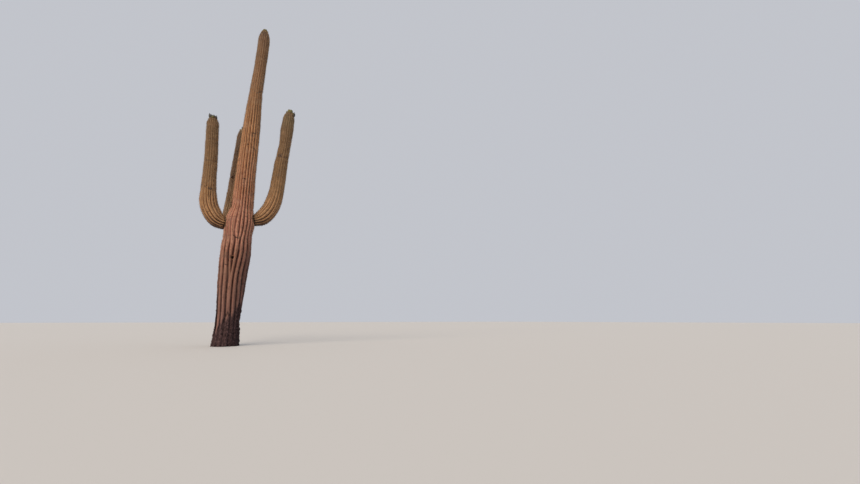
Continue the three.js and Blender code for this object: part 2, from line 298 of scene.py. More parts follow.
def placesOn(limb, lengths):  # middles, radii and axes; past the line's end the crown closes like an egg
    end = knotsOf(limb)[-1]
    inside = np.minimum(lengths, end)
    here = lineAt(limb, inside)
    axis = lineAt(limb, np.minimum(inside + axisStep, end)) - lineAt(limb, np.maximum(inside - axisStep, 0))
    axis = unit(axis[:, :3])
    if limb["upright"]:
        axis = np.tile((0.0, 0.0, 1.0), (len(lengths), 1))
    side = unit(np.cross(axis, limb["squareTo"]))
    front = np.cross(side, axis)
    past = np.maximum(lengths - end, 0)
    radius = here[:, 3] * np.sqrt(np.maximum(1 - (past / limb["crown"]) ** 2, 0))
    return here[:, :3] + axis * past[:, None], radius, axis, front, side


def openness(limb, furrow, lengths, over):  # 0 below a fork, 1 above it and for every other furrow
    start = limb["forks"].get(furrow)
    if start is None:
        return np.ones(len(lengths))
    return smooth(start - over / 2, start + over / 2, lengths)


def ribsBeyond(limb, furrow, step, lengths):  # neighbours that share a rib's crest, not forked yet
    if furrow not in limb["forks"]:
        return 0
    closed = 1 - openness(limb, furrow, lengths, forkSpread)
    return closed * (1 + ribsBeyond(limb, (furrow + step) % limb["ribs"], step, lengths))


keptRadius = 0.6  # the skin keeps at least this share of a limb's radius, as near the tip of a crown
crestPower = 0.8  # broadens the crests

# What wanders along the ribs in small waves: its size, as a share of the radius, of the furrow's depth or
# of a rib's width, and its longest wave
ribWaves = {
    "height": (0.012, 0.9),
    "depth": (0.16, 0.7),
    "tracked": (0.03, 1.7),  # the places of the furrows that have tracks
    "untracked": (0.09, 1.7),
}


def waves(random, lengths, size, longest):  # a smooth wandering line of about this size
    total = np.zeros(len(lengths))
    for k in range(1, 4):
        total += np.sin(2 * math.pi * (lengths * k / longest + random.random())) / k
    return total * size / 1.5


def furrowAngles(limb, lengths):  # one column for each furrow, and the first again at the end
    ribs = limb["ribs"]
    tracks = np.array(limb["tracks"], dtype=float)
    held = np.clip(lengths, tracks[0, 0], tracks[-1, 0])
    facing = np.radians(curveAt(tracks[:, 0], tracks[:, 1:], held))
    first = facing.shape[1] - 1
    widths = np.empty((len(lengths), ribs - first))
    for k in range(ribs - first):
        rib = first + k
        beyond = ribsBeyond(limb, rib, -1, lengths) + ribsBeyond(limb, (rib + 1) % ribs, 1, lengths)
        widths[:, k] = 1 / (1 + beyond)
    room = 2 * math.pi - (facing[:, -1] - facing[:, 0])
    widths *= (room / widths.sum(axis=1))[:, None]
    angles = np.concatenate([facing, facing[:, -1:] + np.cumsum(widths, axis=1)], axis=1)
    random = np.random.default_rng(limb["seed"])
    for furrow in range(1, ribs):
        size, longest = ribWaves["tracked" if furrow <= first else "untracked"]
        angles[:, furrow] += waves(random, lengths, size * 2 * math.pi / ribs, longest)
    return angles


def ribCrests(limb, lengths, rib, u):  # how near a point of a rib is to its crest: 0 furrow, 1 crest
    left = openness(limb, rib, lengths, forkLength)
    right = openness(limb, (rib + 1) % limb["ribs"], lengths, forkLength)
    both = left * right * math.sin(math.pi * u)
    one = left * (1 - right) * math.sin(math.pi * u / 2) + (1 - left) * right * math.cos(math.pi * u / 2)
    return both + one + (1 - left) * (1 - right)


# A mark's line wanders by a share of its thickness, in waves round the limb that start elsewhere for each
# mark, and begins to fade at a share of its reach. LeastRadius bounds its depth where a crown closes.
markRule = {"wanders": 0.6, "round": 23, "along": 9, "fadesFrom": 0.6, "leastRadius": 0.05}
# A small mark of middling size; each is from half as large to half as large again
smallMark = {"from": 0.4, "slope": 0.2, "reach": 6, "thickness": 0.009, "depth": 0.004, "darkness": 0.45}


def allMarks(limb):  # the marks of a limb, with many small ones at random places
    random = np.random.default_rng(limb["seed"] + 3)
    end = knotsOf(limb)[-1]
    marks = list(limb["marks"])
    for k in range(limb["moreMarks"]):
        turn, place = random.uniform(-180, 180), random.uniform(smallMark["from"], end)
        size = random.uniform(0.5, 1.5)
        slope = random.uniform(-smallMark["slope"], smallMark["slope"])
        reach, *rest = (smallMark[name] * size for name in ("reach", "thickness", "depth", "darkness"))
        marks.append((turn, place, reach, slope, *rest))
    return marks


# Areas of the trunk where the furrows differ: the lengths where each sets in, is full, fades and ends, and
# its middle and width in radians from the front
deepLeft = {"lengths": (-1, 0, 2.2, 2.7), "turn": -1.0, "width": 0.6, "deeper": 0.35}
smoothLeft = {"lengths": (2.62, 2.8, 3.3, 4.2), "turn": -1.1, "width": 0.75, "shallower": 0.6}
collar = {"lengths": (2.35, 2.65, 3.0, 3.3), "turn": -0.8, "width": 0.88, "shallower": 0.8, "darker": 0.14}
footFill = {"share": 0.5, "from": 0.15, "to": 0.75}  # cork fills the furrows at the foot
# Where spines veil the ribs, their furrows are shallower and their tones draw near to one, from furrow 0 to
# crest 1. Areas is how far the two smooth areas hide them too.
ribVeil = {"shallower": 0.6, "tone": 0.66, "areas": 0.75}


def areaOf(area, lengths, angle):  # how far an area is felt, from 0 to 1
    starts, full, fades, ends = area["lengths"]
    along = smooth(starts, full, lengths) * (1 - smooth(fades, ends, lengths))
    return along * bell(angle, area["turn"], area["width"])


def trunkFurrows(lengths, angle):  # what is left of the furrows' depth, how hidden they are, how much darker
    deep, flat, folds = (areaOf(area, lengths, angle) for area in (deepLeft, smoothLeft, collar))
    filled = 1 - footFill["share"] * (1 - smooth(footFill["from"], footFill["to"], lengths))
    deeper = 1 + deepLeft["deeper"] * deep
    shallower = 1 - np.maximum(smoothLeft["shallower"] * flat, collar["shallower"] * folds)
    return filled * deeper * shallower, ribVeil["areas"] * np.maximum(flat, folds), collar["darker"] * folds


def skinPoints(limb, lengths):  # points round the limb at each length, how near a crest and how scarred
    middle, radius, axis, front, side = placesOn(limb, lengths)
    proud, veil = (np.interp(lengths, *np.array(limb[name]).T) for name in ("proud", "veil"))
    radius = np.maximum(radius + proud, radius * keptRadius)
    angles = furrowAngles(limb, lengths)
    random = np.random.default_rng(limb["seed"] + 1)
    ribs, columns = limb["ribs"], limb["ribColumns"]
    points = np.empty((len(lengths), ribs * columns + 1, 3))
    crests, scars = np.empty(points.shape[:2]), np.zeros(points.shape[:2])
    swell = np.ones(len(lengths))
    for place, depth, width in limb["rings"]:
        swell -= depth * bell(lengths, place, width)
    marks = allMarks(limb)
    rough = np.array([
        (waves(random, lengths, *ribWaves["height"]), 1 + waves(random, lengths, *ribWaves["depth"]))
        for rib in range(ribs)
    ])
    for column in range(ribs * columns + 1):
        rib = min(column // columns, ribs - 1)
        u = (column - rib * columns) / columns
        angle = between(angles[:, rib], angles[:, rib + 1], u)
        crest = ribCrests(limb, lengths, rib, u)
        height, depth = between(rough[rib], rough[(rib + 1) % ribs], u)
        depth = limb["furrow"] * depth * (1 - ribVeil["shallower"] * veil)
        hidden, tone = veil, ribVeil["tone"]
        if limb["upright"]:
            left, hides, darker = trunkFurrows(lengths, angle)
            depth, hidden, tone = depth * left, np.maximum(veil, hides), tone - darker
        share = (1 + height - depth * (1 - crest ** crestPower)) * swell
        for turn, place, reach, slope, thick, deep, dark in marks:
            off = (angle - math.radians(turn) + math.pi) % (2 * math.pi) - math.pi
            wave = np.sin(markRule["round"] * off + markRule["along"] * place)
            ragged = place + slope * off + markRule["wanders"] * thick * wave
            reach = math.radians(reach)
            fade = smooth(markRule["fadesFrom"] * reach, reach, np.abs(off))
            mark = bell(lengths, ragged, thick) * (1 - fade)
            share = share - deep / np.maximum(radius, markRule["leastRadius"]) * mark
            scars[:, column] = np.maximum(scars[:, column], dark * mark)
        points[:, column] = middle + waysAt(front, side, angle) * (radius * share)[:, None]
        crests[:, column] = between(crest, tone, hidden)
    return points, crests, scars


crownRows = 16


def rowLengths(limb):
    end = knotsOf(limb)[-1]
    crown = end + limb["crown"] * np.sin(math.pi / 2 * np.arange(1, crownRows + 1) / crownRows)
    start, foot = limb["start"], []
    if "footRows" in limb:
        top, step = limb["footRows"]
        foot = np.linspace(start, top, round(top / step), endpoint=False)
        start = top
    body = np.linspace(start, end, round((end - start) / limb["rowStep"]) + 1)
    return np.concatenate([foot, body, crown])


def rowsOf(items, title):  # three numbers of each item of a mesh, as rows
    flat = np.empty(len(items) * 3)
    items.foreach_get(title, flat)
    return flat.reshape(-1, 3)


def verticesOf(piece):
    return rowsOf(piece.data.vertices, "co")


def giveVertices(piece, places):
    piece.data.vertices.foreach_set("co", places.ravel())
    piece.data.update()


def attributeOf(piece, title):
    values = np.empty(len(piece.data.vertices), dtype=np.float32)
    piece.data.attributes[title].data.foreach_get("value", values)
    return values


def giveAttribute(piece, title, values):
    piece.data.attributes[title].data.foreach_set("value", values.astype(np.float32))


# Numbers from 0 to 1 at each point of a skin, for its material: nearness to a crest, scars, holes, cork and
# its cracks, the folds where limbs meet, and the undersides of bends. Folds, undersides and the insides of
# holes get painted shade.
skinMasks = ("crest", "scar", "wound", "cork", "crack", "crease", "under")


def growSkin(name, limb):  # a grid that is wrapped round the limb, closed along its seam and at both ends
    lengths = rowLengths(limb)
    points, crests, scars = skinPoints(limb, lengths)
    columns, rows = points.shape[1] - 1, len(lengths) - 1
    bpy.ops.object.select_all(action="DESELECT")
    bpy.ops.mesh.primitive_grid_add(x_subdivisions=columns, y_subdivisions=rows, size=1)
    skin = bpy.context.object
    skin.name = name
    flat = verticesOf(skin)
    column = np.rint((flat[:, 0] + 0.5) * columns).astype(int)
    row = np.rint((flat[:, 1] + 0.5) * rows).astype(int)
    giveVertices(skin, points[row, column])
    mesh = skin.data
    for title in skinMasks:
        mesh.attributes.new(title, "FLOAT", "POINT")
    giveAttribute(skin, "crest", crests[row, column])
    giveAttribute(skin, "scar", scars[row, column])
    corner = np.empty(len(mesh.loops), dtype=int)
    mesh.loops.foreach_get("vertex_index", corner)
    ribMap = np.stack([column[corner] / limb["ribColumns"], lengths[row[corner]]], axis=1)
    mesh.uv_layers[0].name = "ribMap"
    mesh.uv_layers["ribMap"].data.foreach_set("uv", ribMap.ravel())
    mesh.update()
    bpy.ops.object.mode_set(mode="EDIT")
    bpy.ops.mesh.select_all(action="SELECT")
    bpy.ops.mesh.remove_doubles(threshold=0.0002)
    bpy.ops.mesh.fill_holes(sides=0)
    bpy.ops.object.mode_set(mode="OBJECT")
    bpy.ops.object.shade_smooth()
    return skin


def meshTree(piece):
    faces = [face.vertices[:] for face in piece.data.polygons]
    return BVHTree.FromPolygons([vertex.co for vertex in piece.data.vertices], faces)


def editFaces(piece, chosen):  # goes into edit mode with only these faces selected
    pieceOnly(piece)
    bpy.ops.object.mode_set(mode="EDIT")
    bpy.ops.mesh.select_all(action="DESELECT")
    bpy.ops.object.mode_set(mode="OBJECT")
    piece.data.polygons.foreach_set("select", chosen)
    bpy.ops.object.mode_set(mode="EDIT")


# Old nest holes: degrees from the front, length along the limb, half the width, how much taller than
# wide and how much wider at the top, depth, and the callus round it
trunkWounds = [
    {"turn": -11, "length": 2.07, "radius": 0.026, "tall": 1.4, "topWide": 0.3, "depth": 0.07, "lip": 0.005},
]
backArmWounds = [
    {"turn": 33, "length": 1.80, "radius": 0.032, "tall": 0.9, "topWide": 0, "depth": 0.08, "lip": 0.016},
]
# How a hole is made, in half widths of it from its middle, except for cuts, uneven, thick and flatter
holeRule = {
    "finerTo": 2.4,  # the mesh is subdivided as far as this
    "cuts": 4,
    "uneven": 0.07,
    "thick": 0.15,  # metres of depth that it acts on
    "wall": (0.8, 1.06),
    "lip": (1.35, 0.35),  # its place and its width
    "levelled": (1, 2),
    "flatter": 0.8,  # how much of the skin's relief goes where it is levelled
    # dark is where the painted shade inside a hole gives way to its callus, and stained where the callus
    # fades out
    "dark": (0.92, 1.15),
    "stained": (1.15, 2),
}


def openWound(skin, limb, wound):  # subdivides the skin round a hole and pushes it in, with a callus
    middle, radius, axis, front, side = placesOn(limb, np.array([wound["length"]]))
    outward = waysAt(front, side, np.radians([wound["turn"]]))[0]
    sideways = np.cross(axis[0], outward)
    hit = np.array(meshTree(skin).ray_cast(Vector(middle[0] + outward), Vector(-outward))[0])
    size = wound["radius"]
    far = np.linalg.norm(rowsOf(skin.data.polygons, "center") - hit, axis=1)
    editFaces(skin, far < holeRule["finerTo"] * size)
    bpy.ops.mesh.subdivide(number_cuts=holeRule["cuts"])
    bpy.ops.object.mode_set(mode="OBJECT")
    places = verticesOf(skin)
    offset = places - hit
    along = offset @ outward
    up = offset @ axis[0] / wound["tall"]
    wide = (offset @ sideways) / (1 + wound["topWide"] * np.clip(up / size, -1, 1))
    across = np.hypot(up, wide) / size * (1 + holeRule["uneven"] * np.sin(3 * np.arctan2(up, wide) + 1))
    across[np.abs(along) > holeRule["thick"]] = np.inf
    pit = 1 - smooth(*holeRule["wall"], across)
    lip = wound["lip"] * bell(across, *holeRule["lip"])
    rim = 1 - smooth(*holeRule["levelled"], across)
    level = along * (1 - holeRule["flatter"] * rim) + lip - wound["depth"] * pit
    giveVertices(skin, places + (level - along)[:, None] * outward)
    # the mask is 1 inside the hole, for painted shade, a half on the callus round it, and 0 beyond
    stained = 1 - 0.5 * smooth(*holeRule["dark"], across) - 0.5 * smooth(*holeRule["stained"], across)
    giveAttribute(skin, "wound", np.maximum(attributeOf(skin, "wound"), stained))


# Relief pushed into the skin: its kind, the size of its lumps, height, the level that stays in place,
# and the vertex group that it keeps to
skinRelief = [
    {"name": "softLumps", "kind": "CLOUDS", "size": 0.22, "height": 0.012, "level": 0.5, "group": ""},
    {"name": "skinWarts", "kind": "CLOUDS", "size": 0.030, "height": 0.004, "level": 0.5, "group": ""},
    {"name": "corkPlates", "kind": "VORONOI", "size": 0.070, "height": 0.016, "level": 0.75, "group": "cork"},
    {"name": "corkLumps", "kind": "CLOUDS", "size": 0.060, "height": 0.024, "level": 0.5, "group": "cork"},
    {"name": "corkGrain", "kind": "CLOUDS", "size": 0.020, "height": 0.012, "level": 0.5, "group": "cork"},
]


def pushRelief(skin, relief):
    texture = bpy.data.textures.new(relief["name"], relief["kind"])
    texture.noise_scale = relief["size"]
    if relief["kind"] == "VORONOI":  # flat plates with cracks between them
        texture.weight_1 = -1
        texture.weight_2 = 1
        texture.noise_intensity = 5
        texture.use_clamp = True
    pieceOnly(skin)
    push = skin.modifiers.new(relief["name"], "DISPLACE")
    push.texture = texture
    push.texture_coords = "LOCAL"
    push.strength = relief["height"]
    push.mid_level = relief["level"]
    push.vertex_group = relief["group"]
    bpy.ops.object.modifier_apply(modifier=push.name)


# How far up the trunk the cork reaches: degrees from the front and a height. A long tongue climbs at the
# left, and short ones at the right and behind.
corkEdge = [
    (-180, 0.84), (-165, 1.02), (-148, 0.66), (-130, 0.72), (-112, 0.92), (-101, 0.75), (-94, 1.80),
    (-84, 2.35), (-72, 2.20), (-66, 0.50), (-54, 0.42), (-40, 0.56), (-28, 0.66), (-5, 0.70), (22, 0.76),
    (38, 1.02), (60, 1.08), (78, 0.90), (96, 1.22), (112, 0.80), (135, 0.72), (150, 1.04), (165, 0.70),
    (180, 0.84),
]
corkRule = {
    "ragged": 0.04,
    "raggedWaves": 17,  # round the trunk
    "climb": 0.2,  # how much further up it reaches in a furrow than on a crest
    "fullBelow": 0.17,  # it is whole this far under its edge
    "goneAbove": 0.15,
    "thinner": 0.7,  # the relief of the tongues is less by this share
    "thinFrom": 0.9,
    "thinTo": 1.3,
    "cracks": (0.003, 0.016),  # how far the relief has sunk where a crack begins to show and is full
    "levelBelow": 0.004,
    "weights": 10,  # the vertex group has this many levels of weight
}
neck = {  # a fold in the skin near to where an arm meets the trunk
    "reach": 0.045,
    "deep": 0.016,
    "sinks": (0.2, 1),  # how near, from 0 to 1, where the skin begins to sink and is all the way down
    "low": 2.6,
    "high": 3.7,
    "middle": -0.04,
    "wide": 0.5,
}
underside = (0.15, 0.8)  # how far down the skin of an arm's bend faces where its painted shade begins and is full


def growCork(skin):  # marks the corky foot in a vertex group and in an attribute for the material
    places = verticesOf(skin)
    turn = (np.degrees(np.arctan2(places[:, 1], places[:, 0])) + 90 + 180) % 360 - 180
    ragged = corkRule["ragged"] * np.sin(np.radians(corkRule["raggedWaves"] * turn) + 2)
    edge = np.interp(turn, *np.array(corkEdge).T) + ragged
    edge -= corkRule["climb"] * (attributeOf(skin, "crest") - 0.5)
    cork = 1 - smooth(edge - corkRule["fullBelow"], edge + corkRule["goneAbove"], places[:, 2])
    giveAttribute(skin, "cork", cork)
    group = skin.vertex_groups.new(name="cork")
    thin = corkRule["thinner"] * smooth(corkRule["thinFrom"], corkRule["thinTo"], places[:, 2])
    levels = corkRule["weights"]
    for step in range(1, levels + 1):
        members = np.flatnonzero(np.rint(cork * (1 - thin) * levels) == step)
        group.add(members.tolist(), step / levels, "REPLACE")


def crackCork(skin, before):  # notes where the relief left cracks, for the material
    sunk = np.hypot(*before[:, :2].T) - np.hypot(*verticesOf(skin)[:, :2].T)
    giveAttribute(skin, "crack", attributeOf(skin, "cork") * smooth(*corkRule["cracks"], sunk))


def levelFoot(skin):  # nothing reaches below the ground, and the cut stays level
    places = verticesOf(skin)
    places[:, 2] = np.where(places[:, 2] < corkRule["levelBelow"], 0, places[:, 2])
    giveVertices(skin, places)


def creaseNeck(skin, others):  # marks the skin that is near to the others, for the fold and for its painted shade
    trees = [meshTree(other) for other in others]
    places = verticesOf(skin)
    crease = np.zeros(len(places))
    x, z = places[:, 0], places[:, 2]
    near = (z > neck["low"]) & (z < neck["high"]) & (np.abs(x - neck["middle"]) < neck["wide"])
    for k in np.flatnonzero(near):
        for tree in trees:
            hit, normal, face, far = tree.find_nearest(Vector(places[k]), neck["reach"])
            if hit is not None:
                crease[k] = max(crease[k], 1 - far / neck["reach"])
    giveAttribute(skin, "crease", crease)


def normalsOf(skin):
    return rowsOf(skin.data.vertices, "normal")


def foldNeck(skin):  # sinks the skin along the crease
    depth = neck["deep"] * smooth(*neck["sinks"], attributeOf(skin, "crease"))
    giveVertices(skin, verticesOf(skin) - depth[:, None] * normalsOf(skin))


def shadeUnder(skin):  # marks the underside of an arm's bend, for painted shade there
    giveAttribute(skin, "under", smooth(*underside, -normalsOf(skin)[:, 2]))


trunkSkin = growSkin("trunk_skin", trunk)
growCork(trunkSkin)
smoothShape = verticesOf(trunkSkin)
for relief in skinRelief:
    pushRelief(trunkSkin, relief)
crackCork(trunkSkin, smoothShape)
levelFoot(trunkSkin)
for wound in trunkWounds:
    openWound(trunkSkin, trunk, wound)
leftSkin = growSkin("left_arm_skin", leftArm)
rightSkin = growSkin("right_arm_skin", rightArm)
backSkin = growSkin("back_arm_skin", backArm)
armSkins = (leftSkin, rightSkin, backSkin)
for armSkin in armSkins:
    for relief in skinRelief[:2]:
        pushRelief(armSkin, relief)
    creaseNeck(armSkin, [trunkSkin])
creaseNeck(trunkSkin, armSkins)
for skin in (trunkSkin, *armSkins):
    foldNeck(skin)
for armSkin in armSkins:
    shadeUnder(armSkin)
for wound in backArmWounds:
    openWound(backSkin, backArm, wound)
for piece, nodes in (
    (trunkSkin, ["trunk"]),
    (leftSkin, ["left_arm_elbow", "left_arm_column"]),
    (rightSkin, ["right_arm_elbow", "right_arm_column"]),
    (backSkin, ["back_arm_elbow", "back_arm_column"]),
):
    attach(piece, "root")
    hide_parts(*nodes)
print("skins grown")


# Areoles along the crest of each rib, and the spines that stand on them. The spines of an areole are all of
# one kind, dealt out at random: kinds gives how many in ten are golden, grey and dark. Pads are pale or
# dirty. On the underside of a bend most pads take the dirty tone and most spines the dark one, as painted
# shade.
spineRule = {
    "spacing": 0.027,
    "crownSpacing": 0.017,
    "crownTo": 0.985,  # they go up to this share of the crown's height
    "jitter": 0.0025,
    "skinWithin": 0.05,  # one that would be further from the skin is left out
    "sizeRange": (0.8, 1.2),
    "padSize": 0.0085,
    "padHeight": 0.005,
    "padRings": ((1, -0.002), (0.8, 0.003)),  # its two rings of corners: share of its size, and height
    "padUneven": (0.88, 1.12),
    "perAreole": 12,
    "length": 0.030,
    "lengthRange": (0.65, 1.15),
    "thickness": 0.0011,
    "root": 0.002,  # how deep they are set, and how far out from the areole's middle
    "turn": 2.4,  # radians round the areole from one to the next
    "turnScatter": 0.25,
    "lean": (0.25, 1.25),  # radians that the first and the last lean away from the areole's normal
    "leanScatter": 0.12,
    "bareBelow": 0.9,  # the foot of the trunk has lost its spines
    "wornBelow": 1,
    "wornLength": 0.45,  # the share of their length that is left there
    "fullAbove": 3.4,  # from here up they are whole, and none are lost
    "kinds": (5, 3, 2),
    "dirtyPads": 0.2,
    "shadedUnder": 0.85,
    "under": -0.25,  # the underside is where the normal's z is less
}


# How far across a rib its crest runs: half way, or at the edge where it shares the next rib's below a fork.
# The second result tells whether the areoles there are set on this rib.
def crestPlace(limb, lengths, rib):
    left = openness(limb, rib, lengths, forkLength)
    right = openness(limb, (rib + 1) % limb["ribs"], lengths, forkLength)
    return 0.5 + 0.5 * left * (1 - right) - 0.5 * (1 - left) * right, left > 0.5


def areolesOn(limb, skin, random):  # places and normals of the areoles, set on the finished skin
    end = knotsOf(limb)[-1]
    tree = meshTree(skin)
    found = []
    for rib in range(limb["ribs"]):
        start = limb["start"] + spineRule["spacing"] * random.random()
        body = np.arange(start, end, spineRule["spacing"])
        crown = np.arange(end, end + limb["crown"] * spineRule["crownTo"], spineRule["crownSpacing"])
        lengths = np.concatenate([body, crown])
        lengths += random.normal(0, spineRule["jitter"], len(lengths))
        u, own = crestPlace(limb, lengths, rib)
        angles = furrowAngles(limb, lengths)
        angle = between(angles[:, rib], angles[:, rib + 1], u)
        middle, radius, axis, front, side = placesOn(limb, lengths)
        places = middle + waysAt(front, side, angle) * radius[:, None]
        keep = own
        if limb["upright"]:
            chance = smooth(spineRule["bareBelow"], spineRule["fullAbove"], lengths)
            keep = keep & (random.random(len(lengths)) < chance)
        for place, length in zip(places[keep], lengths[keep]):
            hit, normal, face, far = tree.find_nearest(Vector(place))
            if hit is not None and far < spineRule["skinWithin"]:
                found.append((*hit, *normal, length))
    return np.array(found)


def frameRound(normals, random):  # two directions square to each normal, turned at random
    first = unit(np.cross(normals, random.normal(size=normals.shape)))
    return first, np.cross(normals, first)


def joinedMesh(name, places, faces, kinds):  # many alike: the corners of each, the faces of one, materials
    count, corners = places.shape[:2]
    every = np.array(faces) + corners * np.arange(count)[:, None, None]
    mesh = bpy.data.meshes.new(name)
    mesh.from_pydata(places.reshape(-1, 3).tolist(), [], every.reshape(-1, 3).tolist())
    mesh.update()
    mesh.polygons.foreach_set("material_index", np.repeat(kinds, len(faces)))
    piece = bpy.data.objects.new(name, mesh)
    bpy.context.scene.collection.objects.link(piece)
    return piece


def onUnderside(areoles, random):  # most of the areoles that face down
    facesDown = areoles[:, 5] < spineRule["under"]
    return facesDown & (random.random(len(areoles)) < spineRule["shadedUnder"])


def padsPiece(name, areoles, random):  # low six-sided woolly pads, domed
    centre, normal = areoles[:, :3], areoles[:, 3:6]
    first, second = frameRound(normal, random)
    size = spineRule["padSize"] * random.uniform(*spineRule["sizeRange"], len(areoles))[:, None]
    rings = []
    for share, rise in spineRule["padRings"]:
        for k in range(6):
            turn = 2 * math.pi * k / 6
            wide = size * share * random.uniform(*spineRule["padUneven"], len(areoles))[:, None]
            rings.append(centre + rise * normal + wide * (first * math.cos(turn) + second * math.sin(turn)))
    places = np.stack([*rings, centre + spineRule["padHeight"] * normal], axis=1)
    around = [(k, (k + 1) % 6) for k in range(6)]
    sides = [(a, b, b + 6) for a, b in around] + [(a, b + 6, a + 6) for a, b in around]
    top = [(a + 6, b + 6, 12) for a, b in around]
    base = [(5, 4, 3), (5, 3, 2), (5, 2, 1), (5, 1, 0)]
    # pads on the underside take the dirty tone as painted shade, the others by chance as dirt
    dirty = onUnderside(areoles, random) | (random.random(len(areoles)) < spineRule["dirtyPads"])
    return joinedMesh(name, places, sides + top + base, dirty.astype(int))


def spinesPiece(name, limb, areoles, random):  # slim three-sided needles, closed at the base
    count = spineRule["perAreole"]
    centre, normal = (np.repeat(areoles[:, k:k + 3], count, axis=0) for k in (0, 3))
    first, second = (np.repeat(way, count, axis=0) for way in frameRound(areoles[:, 3:6], random))
    turn = np.tile(np.arange(count) * spineRule["turn"], len(areoles))
    turn += random.normal(0, spineRule["turnScatter"], len(centre))
    lean = np.tile(np.linspace(*spineRule["lean"], count), len(areoles))
    lean += random.normal(0, spineRule["leanScatter"], len(centre))
    outward = waysAt(first, second, turn)
    way = waysAt(normal, outward, lean)
    long = spineRule["length"] * random.uniform(*spineRule["lengthRange"], len(centre))
    long *= 1.25 - 0.35 * lean  # those that stand out most are longest
    if limb["upright"]:
        whole = smooth(spineRule["wornBelow"], spineRule["fullAbove"], np.repeat(areoles[:, 6], count))
        long *= between(spineRule["wornLength"], 1, whole)
    thick = spineRule["thickness"] * random.uniform(*spineRule["sizeRange"], len(centre))
    root = centre + (outward - normal) * spineRule["root"]
    square = unit(np.cross(way, outward + 0.3 * normal))
    other = np.cross(way, square)
    corners = []
    for k in range(3):
        angle = 2 * math.pi * k / 3
        corners.append(root + thick[:, None] * (square * math.cos(angle) + other * math.sin(angle)))
    places = np.stack([*corners, root + way * long[:, None]], axis=1)
    chances = np.array(spineRule["kinds"]) / sum(spineRule["kinds"])
    kinds = random.choice(len(chances), len(areoles), p=chances)
    # dark spines on the underside are painted shade
    kinds[onUnderside(areoles, random)] = len(chances) - 1
    return joinedMesh(name, places, [(0, 1, 3), (1, 2, 3), (2, 0, 3), (2, 1, 0)], np.repeat(kinds, count))


def setSpines(prefix, limb, skin, bounds):  # a piece of spines between each pair of lengths, and one of pads
    random = np.random.default_rng(limb["seed"] + 2)
    areoles = areolesOn(limb, skin, random)
    made = []
    for part, (low, high) in enumerate(zip(bounds, bounds[1:])):
        share = areoles[(areoles[:, 6] >= low) & (areoles[:, 6] < high)]
        ending = f"_{part + 1}" if len(bounds) > 2 else ""
        made.append(("spines", spinesPiece(prefix + "_spines" + ending, limb, share, random)))
    made.append(("pads", padsPiece(prefix + "_areoles", areoles, random)))
    print(prefix, "areoles", len(areoles))
    return made


spinePieces = []
spinePieces += setSpines("trunk", trunk, trunkSkin, [0, 4.6, 10])
spinePieces += setSpines("left_arm", leftArm, leftSkin, [0, 10])
spinePieces += setSpines("right_arm", rightArm, rightSkin, [0, 10])
spinePieces += setSpines("back_arm", backArm, backSkin, [0, 10])
for kind, piece in spinePieces:
    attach(piece, "root")
print("spines set")


# Fruits on the crowns: degrees round from the front, degrees off the crown's axis, degrees that it leans
# out, and length. A flower's rest rises from the tip in steps: how far, and how much wider or narrower.
fruitRule = {
    "ripe": {"slimness": 0.54, "flower": ((0.05, 0.55), (0.09, 1.35), (0.05, 1.15), (0.01, 0.6))},
    "young": {"slimness": 0.74, "flower": ((0.02, 0.6),)},
    "sunk": 0.30,
    "segments": 14,
    "rings": 10,
    "scalesTo": 0.44,  # height in a fruit that is one long, from its middle, as is the next
    "flowerFrom": 0.47,
    "scaleRise": 0.035,
    "scaleTip": 0.4,  # how much of its width a scale keeps at the tip, and how far that is pulled up
    "scalePoint": 0.045,
    "seed": 5,
    "sortFrom": (3, 2, 1),  # faces are sorted by their distance from here, to be in one order each run
}
crownFruits = [
    (trunk, {"young": [
        (0, 2, 0, 0.062), (-75, 11, 8, 0.060), (-20, 13, 10, 0.056), (40, 12, 9, 0.062), (105, 15, 12, 0.054),
        (170, 12, 9, 0.060), (-130, 16, 12, 0.054), (78, 24, 18, 0.052), (-45, 24, 18, 0.050),
        (-98, 25, 20, 0.050), (12, 26, 22, 0.044), (140, 27, 22, 0.048), (-165, 27, 22, 0.046),
    ]}),
    (leftArm, {
        "ripe": [
            (-82, 26, 16, 0.138), (-40, 24, 14, 0.088), (28, 24, 14, 0.082), (74, 26, 15, 0.100),
            (112, 30, 24, 0.084), (160, 28, 20, 0.088), (-145, 28, 20, 0.090), (-20, 5, 4, 0.088),
        ],
        "young": [(-120, 42, 36, 0.070), (-4, 34, 24, 0.066)],
    }),
    (rightArm, {
        "ripe": [(84, 46, 6, 0.152), (122, 42, 16, 0.110)],
        "young": [
            (-70, 10, 5, 0.115), (50, 12, 6, 0.118), (170, 14, 8, 0.105), (-140, 34, 26, 0.070),
            (-85, 30, 22, 0.066), (0, 26, 18, 0.074), (80, 30, 20, 0.080),
        ],
    }),
    (backArm, {
        "ripe": [(20, 26, 18, 0.080), (110, 34, 24, 0.086), (-85, 16, 12, 0.078), (60, 6, 4, 0.080)],
        "young": [(-160, 30, 22, 0.080), (-30, 38, 30, 0.060)],
    }),
]


